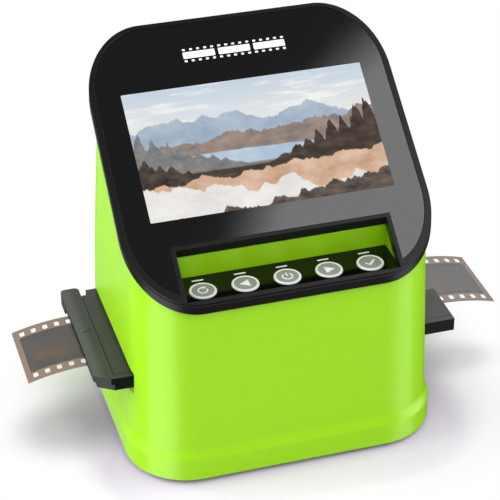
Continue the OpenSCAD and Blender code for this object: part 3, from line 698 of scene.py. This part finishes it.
def key(name, mats):
    """One key with its sunk centre, and the sign printed on it."""
    low, high = in_mm("button_" + name)
    middle = (low + high) / 2
    radius = (high.x - low.x) / 2 - KEY_FLANGE_OUT

    def around(r, z):
        """Vertices round the key's axis, or the single one on it."""
        count = KEY_SEGMENTS if r else 1
        turns = [2 * math.pi * i / count for i in range(count)]
        spots = [(middle.x + r * math.cos(a), middle.y + r * math.sin(a), z) for a in turns]
        return [bm.verts.new(spot) for spot in spots]

    bm = bmesh.new()
    profile = key_profile(radius, low.z, high.z)
    rings = [around(r, z) for r, z, _ in profile]
    for inner, outer, (_, _, in_centre) in zip(rings, rings[1:], profile):
        for i in range(KEY_SEGMENTS):
            j = (i + 1) % KEY_SEGMENTS
            corners = (
                inner[i % len(inner)], outer[i % len(outer)],
                outer[j % len(outer)], inner[j % len(inner)],
            )
            face = bm.faces.new(list(dict.fromkeys(corners)))
            face.material_index = int(in_centre)
    cap = new_piece("key_cap_" + name, bm, "key_" + name, "button_plastic",
                    mats["button_plastic"], mats["key_centre"])
    shade_by_angle(cap)
    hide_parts("button_" + name)

    def on_cap(a, b, h):
        return (middle.x + a, middle.y + b, high.z - CUP + SIGN_RISE + h)

    bm = bmesh.new()
    for outline in sign_outlines(name):
        prism(bm, outline, on_cap, 0, PRINT_T)
    new_piece("key_sign_" + name, bm, "key_" + name, "button_plastic", mats["print_white"])


def key_marks(mats):
    """Short bars on the key plate, one behind each key."""
    bm = bmesh.new()
    plate_top = in_mm("key_plate")[1].z
    for name in BUTTONS:
        low, high = in_mm("button_" + name)
        middle = (low + high) / 2
        spot = (middle.x, middle.y + MARK_BEHIND)
        outline = rounded_outline(MARK_W, MARK_H, MARK_H / 2, spot, steps=3)
        prism(bm, outline, lambda a, b, h: (a, b, h), plate_top, plate_top + PRINT_T)
    new_piece("key_marks", bm, "housing", "button_plastic", mats["print_white"])


# ---------- display ----------

def display_picture(mats):
    """The lit picture, a hair above the window so that it isn't dimmed by it."""
    bm = bmesh.new()
    outline = rounded_outline(PICTURE_W, PICTURE_H, 0.3)
    prism(bm, outline, on_panel, GLASS_FACE, GLASS_FACE + PRINT_T)
    new_piece("display_picture", bm, "housing", "display", mats["display"])


HEADING_V = 39.2
HEADING_W = 42
HEADING_H = 5.6
HEADING_HOLES = 15
HEADING_HOLE = (1.2, 0.8, 0.25)
HEADING_FRAMES = 3
HEADING_FRAME_R = 0.3
# What the frames leave free: between two of them, and for both rows of holes
HEADING_GAP = 1.4
HEADING_ROWS = 2.8


def heading_mark(mats):
    """A small strip of film printed over the picture: three frames between two rows of holes."""
    def spread(count):
        """Middles of equal parts of the mark's width."""
        return [HEADING_W * ((i + 0.5) / count - 0.5) for i in range(count)]

    hole_v = (HEADING_H - HEADING_HOLE[1]) / 2
    outlines = [
        rounded_outline(*HEADING_HOLE, (u, HEADING_V + side * hole_v))
        for u in spread(HEADING_HOLES) for side in (-1, 1)
    ]
    frame_size = (HEADING_W / HEADING_FRAMES - HEADING_GAP, HEADING_H - HEADING_ROWS)
    outlines += [
        rounded_outline(*frame_size, HEADING_FRAME_R, (u, HEADING_V))
        for u in spread(HEADING_FRAMES)
    ]
    bm = bmesh.new()
    for outline in outlines:
        prism(bm, outline, on_panel, GLASS_FACE, GLASS_FACE + PRINT_T)
    new_piece("heading_mark", bm, "housing", "panel_glass", mats["print_white"])


# ---------- film ----------

PERF_L = 1.98
PERF_W = 2.8
PERF_IN = 2.01
PERF_R = 0.5
# The strip starts to curl this far inside the holder's right end
CURL_INSIDE = 0.5
# Distance in millimetres within which the corners of neighbouring faces are welded into one
WELD = 0.005


def curl(s, y, up, flat_x):
    """Point of the strip at length s from its middle: flat in the holder, curling down past it."""
    over = max(0.0, abs(s) - flat_x)
    angle = over / FILM_CURL_R
    radius = FILM_CURL_R + up
    x = min(abs(s), flat_x) + radius * math.sin(angle)
    z = FILM_Z - FILM_CURL_R + radius * math.cos(angle)
    return (math.copysign(x, s), y, z)


def perforated_tile(s0, s1, y0, y1, hole_y):
    """Four-sided faces between a tile's edge and its round-cornered hole, as lists of (s, y)."""
    mid = (s0 + s1) / 2
    hw, hh, r = PERF_L / 2, PERF_W / 2, PERF_R
    cut = r * (1 - math.sqrt(0.5))
    inner, outer = [], []
    for sx, sy in ((1, 1), (-1, 1), (-1, -1), (1, -1)):
        on_side = (mid + sx * hw, hole_y + sy * (hh - r))
        on_top = (mid + sx * (hw - r), hole_y + sy * hh)
        edge_s = s1 if sx > 0 else s0
        edge_y = y1 if sy > 0 else y0
        corner = (mid + sx * (hw - cut), hole_y + sy * (hh - cut))
        loop_in = [on_side, corner, on_top]
        loop_out = [(edge_s, on_side[1]), (edge_s, edge_y), (on_top[0], edge_y)]
        if sx * sy < 0:
            loop_in, loop_out = loop_in[::-1], loop_out[::-1]
        inner += loop_in
        outer += loop_out
    count = len(inner)
    return [
        [inner[i], outer[i], outer[(i + 1) % count], inner[(i + 1) % count]] for i in range(count)
    ]


def film_faces(length, mid_y):
    """Faces of the flat strip, as lists of (s, y): two rows of holes and the plain middle."""
    band = 2 * PERF_IN + PERF_W
    front, back = mid_y - FILM_W / 2, mid_y + FILM_W / 2
    rows = (
        (front, front + band, front + PERF_IN + PERF_W / 2),
        (back - band, back, back - PERF_IN - PERF_W / 2),
    )
    tiles = math.floor(2 * length / PERF_PITCH)
    start = -tiles * PERF_PITCH / 2
    edges = [-length] + [start + i * PERF_PITCH for i in range(tiles + 1)] + [length]
    faces = []
    for k, (s0, s1) in enumerate(zip(edges, edges[1:])):
        has_holes = 0 < k <= tiles
        for y0, y1, hole_y in rows:
            if has_holes:
                faces += perforated_tile(s0, s1, y0, y1, hole_y)
            else:
                faces.append([(s0, y0), (s1, y0), (s1, y1), (s0, y1)])
        y0, y1 = front + band, back - band
        faces.append([(s0, y0), (s1, y0), (s1, y1), (s0, y1)])
    return faces


def film_piece(mats):
    """The strip: two rows of holes with round corners, picture area between them, curled ends."""
    flat_x = in_mm("holder_lid")[1].x - CURL_INSIDE
    over = in_mm("film_strip")[1].x - flat_x
    length = flat_x + FILM_CURL_R * math.asin(over / (FILM_CURL_R + FILM_T / 2))
    mid_y = film_mid_y()
    bm = bmesh.new()
    for face in film_faces(length, mid_y):
        bm.faces.new([bm.verts.new((s, y, 0)) for s, y in face])
    bmesh.ops.remove_doubles(bm, verts=bm.verts, dist=WELD)
    bmesh.ops.recalc_face_normals(bm, faces=bm.faces)
    top = list(bm.faces)
    if top[0].normal.z < 0:
        bmesh.ops.reverse_faces(bm, faces=top)
    grown = bmesh.ops.extrude_face_region(bm, geom=top)
    upper = {v for v in grown["geom"] if isinstance(v, bmesh.types.BMVert)}
    for vert in bm.verts:
        up = FILM_T / 2 if vert in upper else -FILM_T / 2
        vert.co = curl(vert.co.x, vert.co.y, up, flat_x)
    strip = new_piece("film", bm, "film", "film", mats["film"])
    shade_by_angle(strip)
    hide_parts("film_strip")
    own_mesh(strip)


# ---------- camera ----------

# Metres, degrees and the lens's millimetres, found by fitting points of known size
CAMERA_AT = Vector((-0.18004, -0.58902, 0.45561))
CAMERA_AZIMUTH = 16.74
CAMERA_DOWN = 32.20
CAMERA_ROLL = -0.18
CAMERA_LENS = 133.93


def make_camera():
    """Camera at the photograph's place."""
    data = bpy.data.cameras.new("camera")
    data.lens = CAMERA_LENS
    data.sensor_width = 36
    data.clip_end = 20
    camera = add_object("camera", data)
    turn = Euler((math.radians(90 - CAMERA_DOWN), 0, -math.radians(CAMERA_AZIMUTH)))
    roll = Quaternion((0, 0, 1), math.radians(CAMERA_ROLL))
    camera.rotation_mode = "QUATERNION"
    camera.rotation_quaternion = turn.to_quaternion() @ roll
    camera.location = CAMERA_AT
    bpy.context.scene.camera = camera


# ---------- floor ----------

# In metres
FLOOR_SIZE = 8.0
# Half sizes and corner radius of the outline that the housing stands on
FOOT_HALF = (62, 52.25)
FOOT_R = 25
# Paint by the housing, darker there as painted shade, and a little off it, both tinted against the
# green light that the housing throws on it, and further out
FLOOR_SHADE_TINT = (0.61, 0.51, 0.71, 1)
FLOOR_WHITE = (0.93, 0.855, 0.99, 1)
FLOOR_FAR = (0.93, 0.92, 0.94, 1)
# Distances from the footprint over which one paint turns into the next
TINT_ENDS = (0.0, 26.0)
FAR_STARTS = (14.0, 38.0)
# Distances from the footprint over which the lit paint turns into plain white
PLAIN_STARTS = (4.0, 48.0)
# In front of the first Y this share of the painted shade and tint is left out, and less up to the
# second
FRONT_CLEARED = 0.75
FRONT_Y = (-58.0, -20.0)
# Y over which the far paint takes over behind
BEHIND_Y = (14.0, 46.0)
# Soft shade painted under both ends of the holder: middle, half sizes and depth
SHADES = (((-80, -2), (36, 28), 0.42), ((88, -3), (26, 16), 0.24))
# Share of its half sizes over which a shade keeps its full depth
SHADE_CORE = 0.2


def square_sheet(name, size):
    """Flat square, with its size in metres."""
    half = size / 2
    mesh = bpy.data.meshes.new(name)
    corners = [(-half, -half, 0), (half, -half, 0), (half, half, 0), (-half, half, 0)]
    mesh.from_pydata(corners, [], [(0, 1, 2, 3)])
    return add_object(name, mesh)


def seen_directly(g):
    """1 for rays from the camera, a mirror or through glass, and 0 for light that is gathered."""
    path = g.node("LightPath").outputs
    seen = g.math("ADD", path["Is Camera Ray"], path["Is Glossy Ray"])
    return g.math("ADD", seen, path["Is Transmission Ray"], clamp=True)


def off_footprint(g):
    """Distance in millimetres from the outline that the housing stands on."""
    beyond = []
    for name, half in zip("XY", FOOT_HALF):
        past = g.math("SUBTRACT", g.math("ABSOLUTE", g.axis(name)), half - FOOT_R)
        beyond.append(g.math("MAXIMUM", past, 0.0))
    reach = g.node("CombineXYZ", {0: beyond[0], 1: beyond[1]}).outputs[0]
    return g.math("SUBTRACT", g.vector("LENGTH", reach, output="Value"), FOOT_R)


def painted_shade(g):
    """Depth of the soft shade painted under the ends of the holder."""
    shade = 0.0
    for middle, half_sizes, depth in SHADES:
        place = g.vector("SUBTRACT", g.coords(), Vector((*middle, 0)) * MM)
        place = g.vector("DIVIDE", place, (*half_sizes, 1))
        away = g.vector("LENGTH", place, output="Value")
        pool = g.ramp(away, SHADE_CORE * MM, MM, depth, 0.0, smooth=True)
        shade = g.math("ADD", pool, shade)
    return shade


def make_floor():
    """White floor that keeps the shadow near the object, deepened by painted shade, and is plain
    white further out.
    """
    floor = square_sheet("floor", FLOOR_SIZE)
    g = Graph("floor")
    off = off_footprint(g)
    y = g.axis("Y")
    shade = painted_shade(g)
    front = g.ramp(y, *FRONT_Y, FRONT_CLEARED, 0.0)
    clear = g.math("MAXIMUM", g.ramp(off, *TINT_ENDS, smooth=True), front)
    far = g.math("MAXIMUM", g.ramp(off, *FAR_STARTS), g.ramp(y, *BEHIND_Y))
    # Painted shade: darker paint by the housing, and black pools under the holder that also hold
    # back the plain white.
    paint = g.mix(clear, FLOOR_SHADE_TINT, FLOOR_WHITE)
    paint = g.mix(far, paint, FLOOR_FAR)
    paint = g.mix(shade, paint, BLACK)
    near = g.node("BsdfDiffuse", {"Color": paint}).outputs[0]
    plain = g.node("Emission", {"Color": WHITE, "Strength": 1.0}).outputs[0]
    share = g.math("MULTIPLY", g.ramp(off, *PLAIN_STARTS, smooth=True), seen_directly(g))
    share = g.math("MULTIPLY", share, g.math("MULTIPLY_ADD", shade, -2.0, 1.0))
    g.put(g.out.inputs["Surface"], g.node("MixShader", {0: share, 1: near, 2: plain}).outputs[0])
    dress(floor, g.mat)
    floor.visible_glossy = False


# ---------- light ----------

WORLD_LIGHT = 0.4
# What mirrors see: white above, dark below, and soft glows to both sides of the front.
# Each glow: middle and half width of its angle round Z, lowest and highest Z of its directions,
# strength
MIRROR_DARK = 0.06
MIRROR_RISE = (0.18, 0.38)
GLOWS = (
    (-150, 28, -2.0, 0.25, 2.7),
    (-34, 20, -2.0, -0.35, 1.6),
    (-22, 28, -0.35, 0.25, 2.6),
    (110, 40, -2.0, 0.0, 0.34),
)
# Half widths of a glow's soft edges, in degrees and in Z
GLOW_SIDE = 9
GLOW_END = 0.08


def mirrored_light(g):
    """Strength of the world by direction, for rays off a glossy surface."""
    def soft(value, edge, width, before, after):
        return g.ramp(value, edge - width, edge + width, before, after, smooth=True)

    x, y, z = g.node("SeparateXYZ", {0: g.node("TexCoord").outputs["Generated"]}).outputs
    angle = g.math("ARCTAN2", y, x)
    low = MIRROR_DARK
    for middle, half, z_low, z_high, strength in GLOWS:
        turn = g.math("ABSOLUTE", g.math("SUBTRACT", angle, math.radians(middle)))
        turn = g.math("MINIMUM", turn, g.math("SUBTRACT", 2 * math.pi, turn))
        share = soft(turn, math.radians(half), math.radians(GLOW_SIDE), strength, 0.0)
        share = g.math("MULTIPLY", share, soft(z, z_low, GLOW_END, 0.0, 1.0))
        share = g.math("MULTIPLY", share, soft(z, z_high, GLOW_END, 1.0, 0.0))
        low = g.math("ADD", share, low)
    rise = g.ramp(z, *MIRROR_RISE, smooth=True)
    return g.math("MULTIPLY_ADD", low, g.math("SUBTRACT", 1.0, rise), rise)


def make_world():
    """Even light from all round, over a background that is seen as white."""
    world = bpy.data.worlds.new("studio")
    bpy.context.scene.world = world
    g = WorldGraph(world)
    path = g.node("LightPath").outputs
    direct = g.math("ADD", path["Is Camera Ray"], path["Is Transmission Ray"], clamp=True)
    plain = g.ramp(direct, 0.0, 1.0, WORLD_LIGHT, 1.0)
    glossy = path["Is Glossy Ray"]
    mirrored = g.math("MULTIPLY", mirrored_light(g), glossy)
    strength = g.math("MULTIPLY_ADD", plain, g.math("SUBTRACT", 1.0, glossy), mirrored)
    background = g.nodes["Background"]
    g.put(background.inputs["Color"], WHITE)
    g.put(background.inputs["Strength"], strength)


def make_sun(name, towards, strength, spread):
    """Soft lamp far away that shines along a direction; spread is its width in degrees."""
    data = bpy.data.lights.new(name, "SUN")
    data.energy = strength
    data.angle = math.radians(spread)
    lamp = add_object(name, data)
    lamp.rotation_mode = "QUATERNION"
    lamp.rotation_quaternion = Vector(towards).to_track_quat("-Z", "Y")
    lamp.visible_glossy = False


# Metres. The patch's middle is measured from the card's.
OVERHEAD_AT = (0.32, -0.3, 1.3)
OVERHEAD_SIZE = 1.6
PATCH_MIDDLE = Vector((0.34, -0.219, 0))
PATCH_R = 0.379
PATCH_EDGE = 0.064
# Strengths off and on the patch, and the power by which its edge fades
OVERHEAD_GLOW = (0.12, 2.3)
PATCH_FADE = 1.6


def make_overhead_card():
    """Dark card seen only in glossy surfaces, with a bright patch whose edge crosses the glass."""
    card = square_sheet("overhead_card", OVERHEAD_SIZE)
    card.location = OVERHEAD_AT
    g = Graph("overhead_card")
    away = g.vector("DISTANCE", g.coords(), PATCH_MIDDLE, "Value")
    patch = g.ramp(away, PATCH_R - PATCH_EDGE / 2, PATCH_R + PATCH_EDGE / 2, 1.0, 0.0)
    strength = g.ramp(g.math("POWER", patch, PATCH_FADE), 0.0, 1.0, *OVERHEAD_GLOW)
    glow = g.node("Emission", {"Color": WHITE, "Strength": strength}).outputs[0]
    g.put(g.out.inputs["Surface"], glow)
    dress(card, g.mat)
    card.visible_camera = False
    card.visible_diffuse = False
    card.visible_shadow = False
    card.visible_transmission = False


def light_scene():
    make_world()
    make_sun("top_lamp", (0.1, 0.6, -0.79), 1.45, 50)
    make_sun("left_lamp", (0.92, -0.32, -0.25), 3.9, 60)
    make_sun("right_lamp", (-0.94, 0.15, -0.3), 1.3, 60)
    make_overhead_card()


# ---------- the scene ----------

bpy.context.scene.view_settings.view_transform = "Standard"
make_camera()
make_floor()
light_scene()
finishes = dress_construction()
finishes.update(print_white=print_white(), key_centre=key_centre())
housing_shell(finishes)
for button in BUTTONS:
    key(button, finishes)
key_marks(finishes)
display_picture(finishes)
heading_mark(finishes)
film_piece(finishes)
